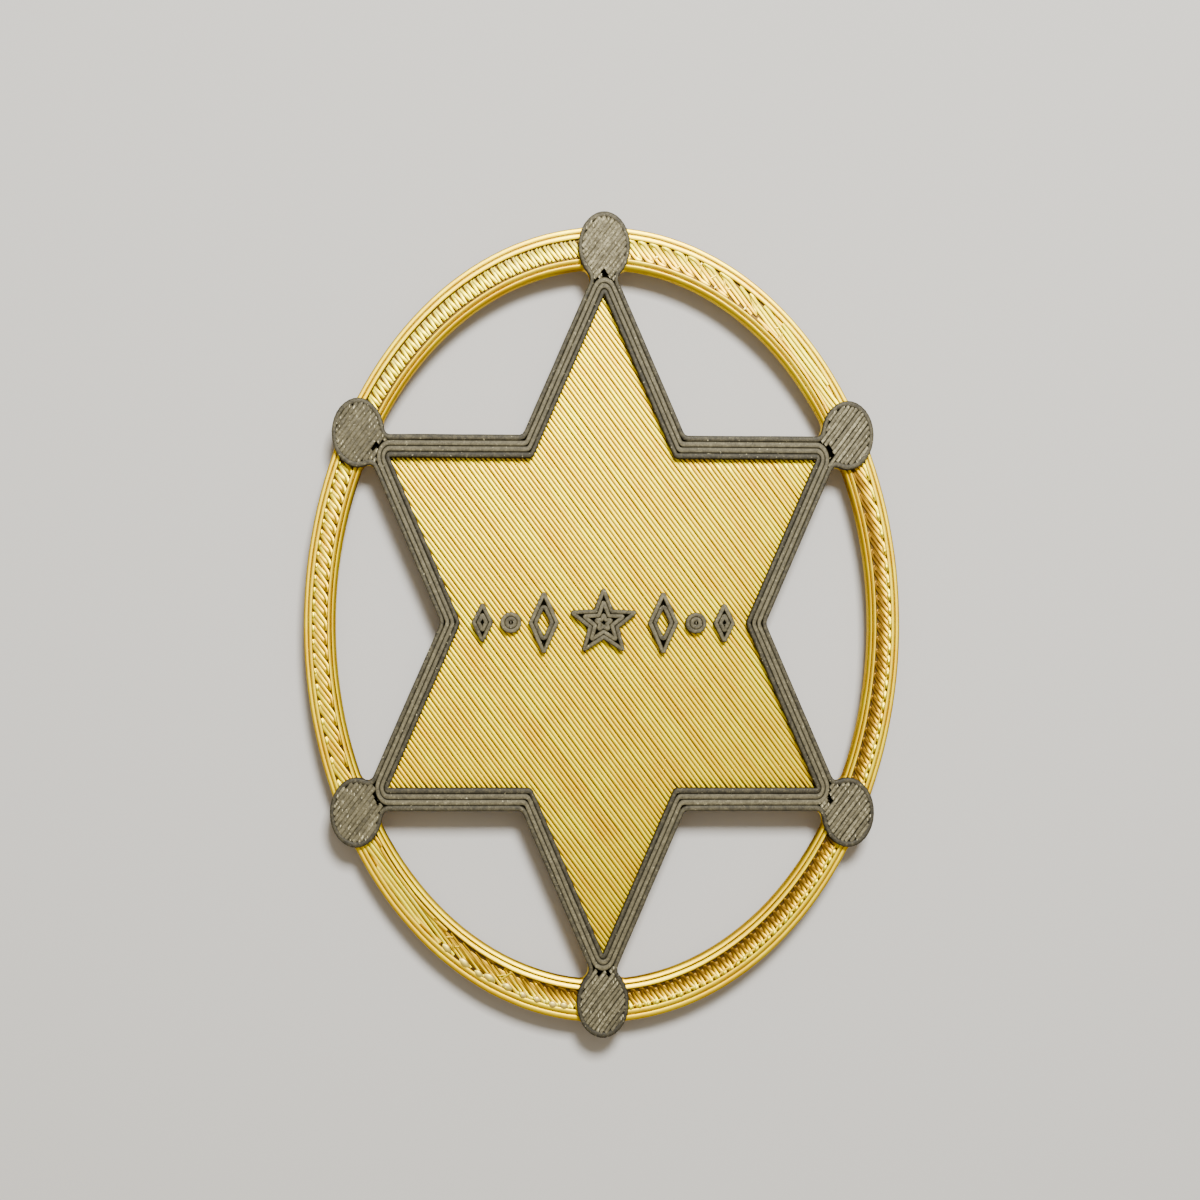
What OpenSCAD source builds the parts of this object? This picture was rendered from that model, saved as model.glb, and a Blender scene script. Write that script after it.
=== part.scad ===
// Oval star badge: a gold ring and star plate with a raised charcoal border, six ball tips,
// a row of small ornaments across the middle, and a steel bar pin behind.
// Millimetres. +Z points out of the face and +Y to the top tip. The pin's feet stand on z = 0.
// Outlines are worked out as if the badge were round, and then stretched along Y.
// Every outline runs anticlockwise.

/* [Oval ring] */
// Outer width of the ring
ring_w = 62.0; // [58:0.5:70]
// Outer height of the ring
ring_h = 82.7; // [74:0.1:96]
// Width of the ring's band at its sides
band_w = 3.25; // [3:0.05:4.4]
// Radius of the curve where the ring's outer edge runs into a ball's pad
ring_blend_r = 0.45; // [0.3:0.05:0.8]
// Radius in a window's corner, where the ring's inner edge meets an arm
window_r = 0.8; // [0.4:0.1:1.2]

/* [Star] */
// Width of the raised border
border_w = 1.8; // [1.2:0.1:2.4]
// Diameter of a ball tip, across the badge
ball_d = 5.4; // [4.6:0.1:6]
// Depth of the balls' centres inside the ring's outer edge
ball_inset = 1.6; // [1:0.1:2]
// Depth of the border's sharp corner inside a ball's centre
tip_inset = 0.2; // [0:0.1:0.6]
// Radius of the curve where an arm runs into its ball
neck_r = 0.6; // [0.3:0.1:1]
// Radius in the notch between two arms
notch_r = 0.5; // [0.2:0.1:1]

/* [Layers] */
// Thickness of the gold layers
base_t = 1.4; // [1:0.2:2.4]
// Height of the charcoal relief above the gold
relief_t = 1.0; // [0.6:0.2:1.6]
// Gap kept between pieces that lie on each other
piece_gap = 0.02; // [0.01:0.01:0.05]

/* [Ornament row] */
// Diameter of the circle through the centre star's points
ornament_h = 8.2; // [6:0.1:8.4]
// Width of the open lozenges' strokes
stroke_w = 0.9; // [0.8:0.05:1]
// Space between neighbouring ornaments
ornament_space = 0.7; // [0.5:0.05:0.75]
// Radius on the ornaments' corners
ornament_r = 0.22; // [0.1:0.02:0.3]

/* [Bar pin] */
// Length of the pin's bar
pin_l = 30; // [20:1:34]
// Width of the bar, across the badge's height
pin_w = 5; // [4:0.5:7]
// Thickness of the bar
pin_t = 0.5; // [0.4:0.1:1]
// Length of each end stand
stand_l = 2.4; // [2:0.1:4]
// Diameter of the wire
wire_d = 0.8; // [0.6:0.1:1.2]
// Room for cloth between the wire and the bar
cloth_room = 1.0; // [0.8:0.1:2]
// Height of the wire above the feet
wire_lift = 0.1; // [0.1:0.1:0.5]
// Radius on the stands' lower edges
foot_r = 0.5; // [0.2:0.1:0.8]

/* [Hidden] */

gold = "goldenrod";
charcoal = "dimgray";
steel = "silver";

// How much taller than wide the badge is
stretch = ring_h / ring_w;

// Degrees between the points of a large and of a small arc
ring_step = 2.5;
small_step = 12;

// Radii about the badge's centre, before the stretch
ring_r = ring_w / 2;
ring_hole_r = ring_r - band_w;
ball_r = ball_d / 2;
ball_at = ring_r - ball_inset;
// Each edge of a six-pointed star lies half a tip radius from the centre
border_edge = (ball_at - tip_inset) / 2;
field_edge = border_edge - border_w;

// Distance between the pin's two stands
stand_span = pin_l - pin_w;

// Heights
bar_z = wire_lift + wire_d + cloth_room;
base_z = bar_z + pin_t + piece_gap;
relief_z = base_z + base_t + piece_gap;
relief_h = relief_t - piece_gap;

// Ornament sizes, from the middle of the row outwards
star_point_r = ornament_h / 2;
star_notch_r = star_point_r * 0.42;
inner_lozenge = [3.2, ornament_h * 0.88];
disc_r = 1.1;
outer_lozenge = [2.3, ornament_h * 0.58];
inner_lozenge_x = star_point_r * cos(18) + ornament_space + inner_lozenge.x / 2;
disc_x = inner_lozenge_x + inner_lozenge.x / 2 + ornament_space + disc_r;
outer_lozenge_x = disc_x + disc_r + ornament_space + outer_lozenge.x / 2;

// Points and directions
function unit(v) = v / norm(v);
function heading(v) = atan2(v.y, v.x);
function polar(r, angle) = [r * cos(angle), r * sin(angle)];
function mirrored(v) = [v.x, -v.y];
function mirrored_outline(points) = [for (i = [len(points) - 1:-1:0]) mirrored(points[i])];
function turned(points, angle) = [for (p = points)
    [p.x * cos(angle) - p.y * sin(angle), p.x * sin(angle) + p.y * cos(angle)]];
function stretched(points) = [for (p = points) [p.x, p.y * stretch]];

// Points of an arc, one for each step or part of one
function arc(centre, r, from, to, step = small_step) =
    let (count = ceil(abs(to - from) / step))
    [for (i = [0:count]) centre + polar(r, from + (to - from) * i / count)];

// The polygon with each of its corners replaced by an arc
function rounded(points, r) =
    let (count = len(points))
    [for (i = [0:count - 1]) each rounded_corner(
        points[(i + count - 1) % count], points[i], points[(i + 1) % count], r)];
function rounded_corner(before, corner, after, r) =
    let (
        back = unit(before - corner),
        on = unit(after - corner),
        half = acos(back * on) / 2,
        centre = corner + unit(back + on) * r / sin(half),
        first = corner + back * r / tan(half) - centre,
        last = corner + on * r / tan(half) - centre,
        from = heading(first)
    )
    arc(centre, r, from, from + atan2(cross(first, last), first * last));

// An arm points along +X here, and its upper edge faces 60 degrees
ball_centre = [ball_at, 0];
neck_centre =
    let (
        start = [2 * border_edge, 0] + polar(neck_r, 60),
        way = polar(1, 150),
        lead = way * (start - ball_centre),
        gap = norm(start - ball_centre)
    )
    start + way * (sqrt(lead * lead - gap * gap + pow(ball_r + neck_r, 2)) - lead);
neck_heading = heading(ball_centre - neck_centre);
notch_centre = polar(border_edge / cos(30) + notch_r / sin(60), 30);

// One arm with its ball and the notch that follows it
function arm() = concat(
    arc(mirrored(neck_centre), neck_r, 120, -neck_heading),
    arc(ball_centre, ball_r, -180 - neck_heading, 180 + neck_heading),
    arc(neck_centre, neck_r, neck_heading, -120),
    arc(notch_centre, notch_r, 240, 180));

// Arms stand at 30, 90, 150 degrees and so on
function star_outline() = [for (i = [0:5]) each turned(arm(), 30 + 60 * i)];

// The star inside the border, with sharp tips and notches
function field_outline() = [for (i = [0:5]) each turned(
    [[2 * field_edge, 0], polar(field_edge / cos(30), 30)], 30 + 60 * i)];

// A patch that rounds the corner between the ring's outer edge and a ball's pad
function blend_patch() =
    let (
        far = ring_r + ring_blend_r,
        reach = ball_r + ring_blend_r,
        angle = acos((far * far + ball_at * ball_at - reach * reach) / (2 * far * ball_at)),
        centre = polar(far, angle)
    )
    concat(arc(centre, ring_blend_r, heading(ball_centre - centre), angle - 180), [ball_centre]);

// The window between two arms, with its notch at angle 0 here
function window_outline() =
    let (
        notch = turned([notch_centre], -30)[0],
        edge = border_edge + window_r,
        far = ring_hole_r - window_r,
        corner = edge * polar(1, -30) + sqrt(far * far - edge * edge) * polar(1, 60),
        side = heading(corner)
    )
    concat(
        arc(notch, notch_r, 150, 210),
        arc(mirrored(corner), window_r, 210, 360 - side),
        arc([0, 0], ring_hole_r, -side, side, ring_step),
        arc(corner, window_r, side, 150));

// Windows lie at 0, 60, 120 degrees and so on
module windows_plan() {
    for (i = [0:5]) polygon(stretched(turned(window_outline(), 60 * i)));
}

// The whole oval without its windows: ring, star and the balls' pads
module gold_outline() {
    polygon(stretched(arc([0, 0], ring_r, 0, 360 - ring_step, ring_step)));
    polygon(stretched(star_outline()));
    for (i = [0:5], patch = [blend_patch(), mirrored_outline(blend_patch())])
        polygon(stretched(turned(patch, 30 + 60 * i)));
}

module gold_base() {
    color(gold) translate([0, 0, base_z]) linear_extrude(base_t) difference() {
        gold_outline();
        windows_plan();
    }
}

module star_border() {
    color(charcoal) translate([0, 0, relief_z]) linear_extrude(relief_h) difference() {
        polygon(stretched(star_outline()));
        polygon(stretched(field_outline()));
    }
}

// Lays a flat ornament on the gold, at a place along the row
module raised(x) {
    color(charcoal) translate([x, 0, relief_z]) linear_extrude(relief_h) children();
}

module centre_star() {
    raised(0) polygon(rounded(
        [for (i = [0:9]) polar(i % 2 == 0 ? star_point_r : star_notch_r, 90 + 36 * i)], ornament_r));
}

function lozenge_points(size) = [
    [size.x / 2, 0], [0, size.y / 2], [-size.x / 2, 0], [0, -size.y / 2]];

// An open lozenge with a stroke of even width
module open_lozenge(size) {
    slope = atan2(size.y, size.x);
    hole = size - 2 * stroke_w * [1 / sin(slope), 1 / cos(slope)];
    difference() {
        polygon(rounded(lozenge_points(size), ornament_r));
        polygon(lozenge_points(hole));
    }
}

module inner_lozenge(side) {
    raised(side * inner_lozenge_x) open_lozenge(inner_lozenge);
}

module disc(side) {
    raised(side * disc_x) circle(disc_r, $fn = 48);
}

module outer_lozenge(side) {
    raised(side * outer_lozenge_x) polygon(rounded(lozenge_points(outer_lozenge), ornament_r));
}

module pin_bar() {
    translate([0, 0, bar_z]) linear_extrude(pin_t) {
        square([stand_span, pin_w], center = true);
        for (side = [-1, 1]) translate([side * stand_span / 2, 0]) circle(pin_w / 2, $fn = 64);
    }
}

// Stands reach half way into the bar, so that the pin is one piece
module pin_stand(side) {
    top = bar_z + pin_t / 2;
    translate([side * stand_span / 2, 0]) rotate([90, 0, 0])
        linear_extrude(pin_w, center = true) union() {
            polygon(rounded([[-stand_l / 2, 0], [stand_l / 2, 0],
                [stand_l / 2, top], [-stand_l / 2, top]], foot_r));
            translate([-stand_l / 2, top / 2]) square([stand_l, top / 2]);
        }
}

module pin_wire() {
    translate([0, 0, wire_lift + wire_d / 2]) rotate([0, 90, 0])
        cylinder(d = wire_d, h = stand_span, center = true, $fn = 32);
}

module pin_back() {
    color(steel) {
        pin_bar();
        pin_stand(-1);
        pin_stand(1);
        pin_wire();
    }
}

gold_base();
star_border();
centre_star();
inner_lozenge(-1);  // inner_lozenge_left
inner_lozenge(1);  // inner_lozenge_right
disc(-1);  // disc_left
disc(1);  // disc_right
outer_lozenge(-1);  // outer_lozenge_left
outer_lozenge(1);  // outer_lozenge_right
pin_back();
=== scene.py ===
# Looks of an oval star badge, printed in gold and charcoal filament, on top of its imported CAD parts.
# Outlines are worked out in millimetres as complex numbers, x + yj, as if the badge were round.
# The bead tree turns paths into lines of plastic, and stretches them along Y as it makes them metres.
import cmath
import math
import random

import bmesh
import bpy
from mathutils import Matrix, Vector
from mathutils.geometry import tessellate_polygon


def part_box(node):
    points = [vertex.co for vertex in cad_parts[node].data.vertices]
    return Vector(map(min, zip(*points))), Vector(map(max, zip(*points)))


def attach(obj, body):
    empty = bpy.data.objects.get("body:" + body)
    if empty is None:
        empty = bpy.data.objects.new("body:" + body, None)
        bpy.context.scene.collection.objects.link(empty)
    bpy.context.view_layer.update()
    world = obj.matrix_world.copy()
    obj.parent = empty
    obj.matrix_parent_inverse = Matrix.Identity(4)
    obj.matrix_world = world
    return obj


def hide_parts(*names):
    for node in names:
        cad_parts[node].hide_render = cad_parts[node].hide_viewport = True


mm = 0.001

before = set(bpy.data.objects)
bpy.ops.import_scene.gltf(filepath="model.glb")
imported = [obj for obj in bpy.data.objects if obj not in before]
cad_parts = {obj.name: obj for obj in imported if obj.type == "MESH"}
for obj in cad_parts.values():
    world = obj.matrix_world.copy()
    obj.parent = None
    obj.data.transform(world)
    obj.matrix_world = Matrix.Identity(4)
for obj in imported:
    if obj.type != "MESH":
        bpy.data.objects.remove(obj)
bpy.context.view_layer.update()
goldLow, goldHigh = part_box("gold_base")
reliefLow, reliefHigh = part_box("star_border")

# The badge's outline, with the same sizes as its CAD part
badge = {
    "bandWidth": 3.25,
    "ballRadius": 2.7,
    "ballInset": 1.6,
    "tipInset": 0.2,
    "borderWidth": 1.8,
    "neckRadius": 0.6,
    "notchRadius": 0.5,
    "windowRadius": 0.8,
    "blendRadius": 0.45,
}
ringRadius = goldHigh.x / mm
holeRadius = ringRadius - badge["bandWidth"]
ballRadius = badge["ballRadius"]
ballAt = ringRadius - badge["ballInset"]
stretch = goldHigh.y / mm / (ballAt + ballRadius)
borderEdge = (ballAt - badge["tipInset"]) / 2
fieldEdge = borderEdge - badge["borderWidth"]

# Lines of plastic, in mm and degrees
bead = 0.45  # width of a line along an edge
coreInset = 0.45 * bead  # the cores end under the middle of the edge lines
goldPrint = {
    "low": goldLow.z / mm,
    "high": goldHigh.z / mm,
    "layers": 7,
    "fillPitch": 0.367,
    "fillAngle": -45,
    "fillBead": 0.84,  # width of a fill line for each width of an edge line
}
charcoalPrint = {
    "low": reliefLow.z / mm,
    "high": reliefHigh.z / mm,
    "layers": 5,
    "fillPitch": 0.367,
    "fillAngle": 45,
    "fillBead": 0.84,
}
# Distance between the points of an arc, in mm
arcStep = 0.5
ringStep = 1.2
fineStep = 0.2


def polar(r, angle):
    return cmath.rect(r, math.radians(angle))


def heading(p):
    return math.degrees(cmath.phase(p))


def arc(centre, r, start, end, step=arcStep):
    count = max(2, math.ceil(abs(math.radians(end - start)) * r / step))
    return [centre + polar(r, start + (end - start) * i / count) for i in range(count + 1)]


def sixTimes(points):  # turns what points along +X into the six arms
    return [p * polar(1, 30 + 60 * i) for i in range(6) for p in points]


def cornerCentre(edge, r):  # centre of a curve in the notch between two arms, at 30 degrees
    return polar(edge / math.cos(math.radians(30)) + r / math.sin(math.radians(60)), 30)


# Where an arm along +X runs into its ball
neckStart = 2 * borderEdge + polar(badge["neckRadius"], 60)
neckWay = polar(1, 150)
toBall = neckStart - ballAt
lead = (toBall * neckWay.conjugate()).real
reach = ballRadius + badge["neckRadius"]
neckCentre = neckStart + neckWay * (math.sqrt(lead ** 2 - abs(toBall) ** 2 + reach ** 2) - lead)
neckHeading = heading(ballAt - neckCentre)


def starLoop(inset):  # the charcoal outline, with its balls
    neckR = badge["neckRadius"] + inset
    arm = arc(neckCentre.conjugate(), neckR, 120, -neckHeading)
    arm += arc(ballAt, ballRadius - inset, -180 - neckHeading, 180 + neckHeading)
    arm += arc(neckCentre, neckR, neckHeading, -120)
    arm += arc(cornerCentre(borderEdge, badge["notchRadius"]), badge["notchRadius"] + inset, 240, 180)
    return sixTimes(arm)


def hexLoop(edge, tipR, notchR):  # a plain six-pointed star
    arm = arc(2 * (edge - tipR), tipR, -60, 60, fineStep)
    arm += arc(cornerCentre(edge, notchR), notchR, 240, 180, fineStep)
    return sixTimes(arm)


def windowLoop(outset):  # the window whose notch is at angle 0
    r = badge["windowRadius"]
    notchR = badge["notchRadius"]
    edge = borderEdge + r
    corner = edge * polar(1, -30) + math.sqrt((holeRadius - r) ** 2 - edge ** 2) * polar(1, 60)
    side = heading(corner)
    loop = arc(abs(cornerCentre(borderEdge, notchR)), notchR + outset, 150, 210)
    loop += arc(corner.conjugate(), r + outset, 210, 360 - side)
    loop += arc(0, holeRadius + outset, -side, side, ringStep)
    loop += arc(corner, r + outset, side, 150)
    return loop


def outerLoop(inset):  # the ring's outer edge and the balls' pads
    r = badge["blendRadius"]
    far = ringRadius + r
    reach = ballRadius + r
    angle = math.degrees(math.acos((far ** 2 + ballAt ** 2 - reach ** 2) / (2 * far * ballAt)))
    centre = polar(far, angle)
    toPad = heading(ballAt - centre)
    pad = arc(centre.conjugate(), r + inset, 180 - angle, -toPad)
    pad += arc(ballAt, ballRadius - inset, -180 - toPad, 180 + toPad)
    pad += arc(centre, r + inset, toPad, angle - 180)
    pad += arc(0, ringRadius - inset, angle, 60 - angle, ringStep)
    return sixTimes(pad)


def circle(r, step=arcStep):
    return arc(0, r, 0, 360, step)[:-1]


def insetCorners(corners, d):  # moves each side of a polygon in by d
    moved = []
    for before, corner, after in zip(corners[-1:] + corners[:-1], corners, corners[1:] + corners[:1]):
        a = (corner - before) / abs(corner - before) * 1j
        b = (after - corner) / abs(after - corner) * 1j
        moved.append(corner + (a + b) * d / (1 + (a * b.conjugate()).real))
    return moved


def roundCorners(corners, r):
    out = []
    for before, corner, after in zip(corners[-1:] + corners[:-1], corners, corners[1:] + corners[:1]):
        back = (before - corner) / abs(before - corner)
        on = (after - corner) / abs(after - corner)
        half = math.acos(max(-1, min(1, (back * on.conjugate()).real))) / 2
        middle = (back + on) / abs(back + on)
        centre = corner + middle * r / math.sin(half)
        first = corner + back * r / math.tan(half) - centre
        last = corner + on * r / math.tan(half) - centre
        sweep = math.degrees(cmath.phase(last / first))
        out += arc(centre, r, heading(first), heading(first) + sweep, fineStep / 2)
    return out


def spaced(points, closed, longest, shortest=0.03):  # no near doubles, no long gaps
    kept = []
    for p in points:
        if not kept or abs(p[0] - kept[-1][0]) > shortest:
            kept.append(p)
    if closed:
        if abs(kept[0][0] - kept[-1][0]) <= shortest:
            kept.pop()
        kept.append(kept[0])
    out = []
    for (a, toneA), (b, toneB) in zip(kept, kept[1:]):
        count = math.ceil(abs(b - a) / longest)
        out += [(a + (b - a) * i / count, toneA + (toneB - toneA) * i / count) for i in range(count)]
    return out if closed else out + kept[-1:]


def line(points, z, closed=True, size=1.0, tones=None, groove=0.5, lean=0.0):
    if tones is None:
        tones = [random.uniform(0.3, 0.7)] * len(points)
    return {"points": list(zip(points, tones)), "z": z, "closed": closed, "size": size, "groove": groove,
            "lean": lean, "turns": []}


# How the nozzle lays a fill, in pitches and tones
zigzag = {
    "reach": 3,  # it turns round into the next row where the two ends are this near
    "turnRoom": 0.5,  # left free at the outline by a turn
    "endRoom": 0.15,  # left free where a line stops
    "wayTone": 0.06,  # lines laid one way are this much paler, and those laid the other way darker
    "toneSpread": 0.2,
}


# turns says where the nozzle turned round instead of stopping, and slant how far a line leans, in mm
def fillLines(outlines, kind, z, size, middleTone=0.5, turnTone=0.0, stray=0.0, turns=lambda p: True,
              groove=0.6, slant=None):
    pitch = kind["fillPitch"]
    back = polar(1, kind["fillAngle"])
    sides = []
    for outline in outlines:
        turned = [p / back for p in outline]
        sides += list(zip(turned, turned[1:] + turned[:1]))
    level = min(a.imag for a, b in sides) + pitch / 2
    top = max(a.imag for a, b in sides)
    going, lines, row = [], [], 0
    while level < top:
        xs = sorted(a.real + (b.real - a.real) * (level - a.imag) / (b.imag - a.imag)
                    for a, b in sides if (a.imag < level) != (b.imag < level))
        vary = zigzag["wayTone"] * (-1) ** row
        vary += random.uniform(-zigzag["toneSpread"], zigzag["toneSpread"])
        y = level + stray * ((-1) ** row + random.uniform(-1, 1))
        stillGoing = []
        for span in zip(xs[::2], xs[1::2]):
            if span[1] - span[0] < pitch:
                continue
            found = None
            for chain in going:
                old, side = chain["span"], chain["side"]
                meets = min(old[1], span[1]) > max(old[0], span[0])
                near = abs(span[side] - old[side]) < zigzag["reach"] * pitch
                if meets and near and turns(back * complex(span[side], y)):
                    found = chain
            rise = slant(back * complex(sum(span) / 2, y)) if slant else 0
            if found:
                going.remove(found)
                side = found["side"]
                sign = 1 if side else -1
                was, now = found["span"][side] - sign * pitch / 2, span[side] - sign * pitch / 2
                start, end = found["y"] + found["rise"], y - rise
                for bend in (-45, 0, 45):
                    share = 0.5 + math.sin(math.radians(bend)) / 2
                    x = was + (now - was) * share + sign * pitch / 2 * math.cos(math.radians(bend))
                    found["points"].append(back * complex(x, start + (end - start) * share))
                    found["tones"].append(vary + turnTone)
                found["turns"].append(found["points"][-2])
                found["side"] = 1 - side
            else:
                found = {"points": [], "tones": [], "turns": [], "side": row % 2 if slant else 1}
                lines.append(found)
            found["span"], found["y"], found["rise"] = span, y, rise
            short = [pitch * zigzag["turnRoom" if turns(back * complex(end, y)) else "endRoom"]
                     for end in span]
            up = rise if found["side"] else -rise
            ends = [back * complex(span[0] + short[0], y - up), back * complex(span[1] - short[1], y + up)]
            found["points"] += ends if found["side"] else ends[::-1]
            found["tones"] += [vary, vary]
            stillGoing.append(found)
        going = stillGoing
        level += pitch
        row += 1
    out = []
    for found in lines:
        tones = [t + (middleTone(p) if callable(middleTone) else middleTone)
                 for p, t in zip(found["points"], found["tones"])]
        out.append(line(found["points"], z, False, size, tones, groove))
        out[-1]["turns"] = found["turns"]
    return out


def addNode(tree, kind, inputs=None, **settings):
    node = tree.nodes.new(kind)
    for name, value in settings.items():
        setattr(node, name, value)
    for name, value in (inputs or {}).items():
        if isinstance(value, bpy.types.NodeSocket):
            tree.links.new(value, node.inputs[name])
        else:
            node.inputs[name].default_value = value
    return node


wanderLength = 2.0  # mm along a line for each time that it strays from its way


def buildBeadTree():
    tree = bpy.data.node_groups.new("printedBeads", "GeometryNodeTree")
    sockets = [
        ("Paths", "NodeSocketGeometry", None),
        ("Core", "NodeSocketObject", None),
        ("Bead Width", "NodeSocketFloat", 0.4),
        ("Layer Height", "NodeSocketFloat", 0.2),
        ("Layers", "NodeSocketInt", 1),
        ("Squareness", "NodeSocketFloat", 2.6),
        ("Sides", "NodeSocketInt", 12),
        ("Wander", "NodeSocketFloat", 0.02),
        ("Seed", "NodeSocketFloat", 1.0),
        ("Stretch", "NodeSocketFloat", 1.0),
        ("Material", "NodeSocketMaterial", None),
    ]
    for name, kind, value in sockets:
        socket = tree.interface.new_socket(name=name, in_out="INPUT", socket_type=kind)
        if value is not None:
            socket.default_value = value
    tree.interface.new_socket(name="Beads", in_out="OUTPUT", socket_type="NodeSocketGeometry")
    given = addNode(tree, "NodeGroupInput").outputs

    # One copy of the paths for each layer, downwards
    curve = addNode(tree, "GeometryNodeMeshToCurve", {"Mesh": given["Paths"]})
    drop = addNode(tree, "ShaderNodeMath", {0: given["Layer Height"], 1: -1.0}, operation="MULTIPLY")
    down = addNode(tree, "ShaderNodeCombineXYZ", {"Z": drop.outputs[0]})
    stack = addNode(tree, "GeometryNodeMeshLine", {"Count": given["Layers"], "Offset": down.outputs[0]})
    copies = addNode(tree, "GeometryNodeInstanceOnPoints",
                     {"Points": stack.outputs[0], "Instance": curve.outputs[0]})
    loose = addNode(tree, "GeometryNodeRealizeInstances", {0: copies.outputs[0]})

    # The nozzle wanders a little, and least in height
    place = addNode(tree, "GeometryNodeInputPosition")
    noise = addNode(tree, "ShaderNodeTexNoise",
                    {"Vector": place.outputs[0], "W": given["Seed"], "Scale": 1 / wanderLength},
                    noise_dimensions="4D")
    centred = addNode(tree, "ShaderNodeVectorMath", {0: noise.outputs["Color"], 1: (0.5, 0.5, 0.5)},
                      operation="SUBTRACT")
    flat = addNode(tree, "ShaderNodeVectorMath", {0: centred.outputs[0], 1: (1.0, 1.0, 0.3)},
                   operation="MULTIPLY")
    sized = addNode(tree, "ShaderNodeVectorMath", {0: flat.outputs[0], "Scale": given["Wander"]},
                    operation="SCALE")
    wandered = addNode(tree, "GeometryNodeSetPosition",
                       {"Geometry": loose.outputs[0], "Offset": sized.outputs[0]})
    upright = addNode(tree, "GeometryNodeSetCurveNormal", {"Curve": wandered.outputs[0]}, mode="Z_UP")
    lean = addNode(tree, "GeometryNodeInputNamedAttribute", {"Name": "beadLean"}, data_type="FLOAT")
    leaning = addNode(tree, "GeometryNodeSetCurveTilt",
                      {"Curve": upright.outputs[0], "Tilt": lean.outputs[0]})

    # The section of a bead: a flattened round, squarer than an ellipse
    ring = addNode(tree, "GeometryNodeCurvePrimitiveCircle", {"Resolution": given["Sides"], "Radius": 1.0})
    power = addNode(tree, "ShaderNodeMath", {0: 2.0, 1: given["Squareness"]}, operation="DIVIDE")
    parts = addNode(tree, "ShaderNodeSeparateXYZ", {0: place.outputs[0]})
    halves = []
    for axis, full in (("X", given["Bead Width"]), ("Y", given["Layer Height"])):
        size = addNode(tree, "ShaderNodeMath", {0: parts.outputs[axis]}, operation="ABSOLUTE")
        raised = addNode(tree, "ShaderNodeMath", {0: size.outputs[0], 1: power.outputs[0]},
                         operation="POWER")
        sign = addNode(tree, "ShaderNodeMath", {0: parts.outputs[axis]}, operation="SIGN")
        signed = addNode(tree, "ShaderNodeMath", {0: raised.outputs[0], 1: sign.outputs[0]},
                         operation="MULTIPLY")
        half = addNode(tree, "ShaderNodeMath", {0: full, 1: 0.5}, operation="MULTIPLY")
        reached = addNode(tree, "ShaderNodeMath", {0: signed.outputs[0], 1: half.outputs[0]},
                          operation="MULTIPLY")
        halves.append(reached.outputs[0])
    squared = addNode(tree, "ShaderNodeCombineXYZ", {"X": halves[0], "Y": halves[1]})
    # The section's height, from -1 at a bead's foot to 1 at its top, paints shade on its flanks
    crown = addNode(tree, "ShaderNodeMath", {0: signed.outputs[0], 1: -1.0}, operation="MULTIPLY")
    crowned = addNode(tree, "GeometryNodeStoreNamedAttribute", {
        "Geometry": ring.outputs[0], "Name": "beadCrown", "Value": crown.outputs[0]},
        data_type="FLOAT", domain="POINT")
    section = addNode(tree, "GeometryNodeSetPosition",
                      {"Geometry": crowned.outputs[0], "Position": squared.outputs[0]})

    size = addNode(tree, "GeometryNodeInputNamedAttribute", {"Name": "beadSize"}, data_type="FLOAT")
    beads = addNode(tree, "GeometryNodeCurveToMesh", {
        "Curve": leaning.outputs[0], "Profile Curve": section.outputs[0],
        "Scale": size.outputs[0], "Fill Caps": True})
    smooth = addNode(tree, "GeometryNodeSetShadeSmooth", {"Geometry": beads.outputs[0]})

    # The core that the beads lie on comes in as an object, and all of it becomes metres
    core = addNode(tree, "GeometryNodeObjectInfo", {"Object": given["Core"]})
    both = addNode(tree, "GeometryNodeJoinGeometry")
    for part in (smooth, core):
        tree.links.new(part.outputs["Geometry"], both.inputs[0])
    tall = addNode(tree, "ShaderNodeMath", {0: given["Stretch"], 1: mm}, operation="MULTIPLY")
    scale = addNode(tree, "ShaderNodeCombineXYZ", {"X": mm, "Y": tall.outputs[0], "Z": mm})
    metres = addNode(tree, "GeometryNodeTransform",
                     {"Geometry": both.outputs[0], "Scale": scale.outputs[0]})
    whole = addNode(tree, "GeometryNodeRealizeInstances", {0: metres.outputs[0]})
    dressed = addNode(tree, "GeometryNodeSetMaterial",
                      {"Geometry": whole.outputs[0], "Material": given["Material"]})
    addNode(tree, "NodeGroupOutput", {0: dressed.outputs[0]})
    return tree


def pathObject(name, paths, longest):
    verts, edges, tones, sizes, grooveShades, leans = [], [], [], [], [], []
    for path in paths:
        first = len(verts)
        points = spaced(path["points"], path["closed"], longest)
        height, size = path["z"], path["size"]
        verts += [(p.real, p.imag, height(p) if callable(height) else height) for p, tone in points]
        tones += [tone for p, tone in points]
        sizes += [size(p) if callable(size) else size for p, tone in points]
        grooveShades += [path["groove"]] * len(points)
        leans += [math.radians(path["lean"])] * len(points)
        edges += [(i, i + 1) for i in range(first, len(verts) - 1)]
        if path["closed"]:
            edges.append((len(verts) - 1, first))
    mesh = bpy.data.meshes.new(name)
    mesh.from_pydata(verts, edges, [])
    named = {"beadTone": tones, "beadSize": sizes, "grooveDepth": grooveShades, "beadLean": leans}
    for key, values in named.items():
        mesh.attributes.new(key, "FLOAT", "POINT").data.foreach_set("value", values)
    piece = bpy.data.objects.new(name, mesh)
    bpy.context.scene.collection.objects.link(piece)
    return piece


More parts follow.
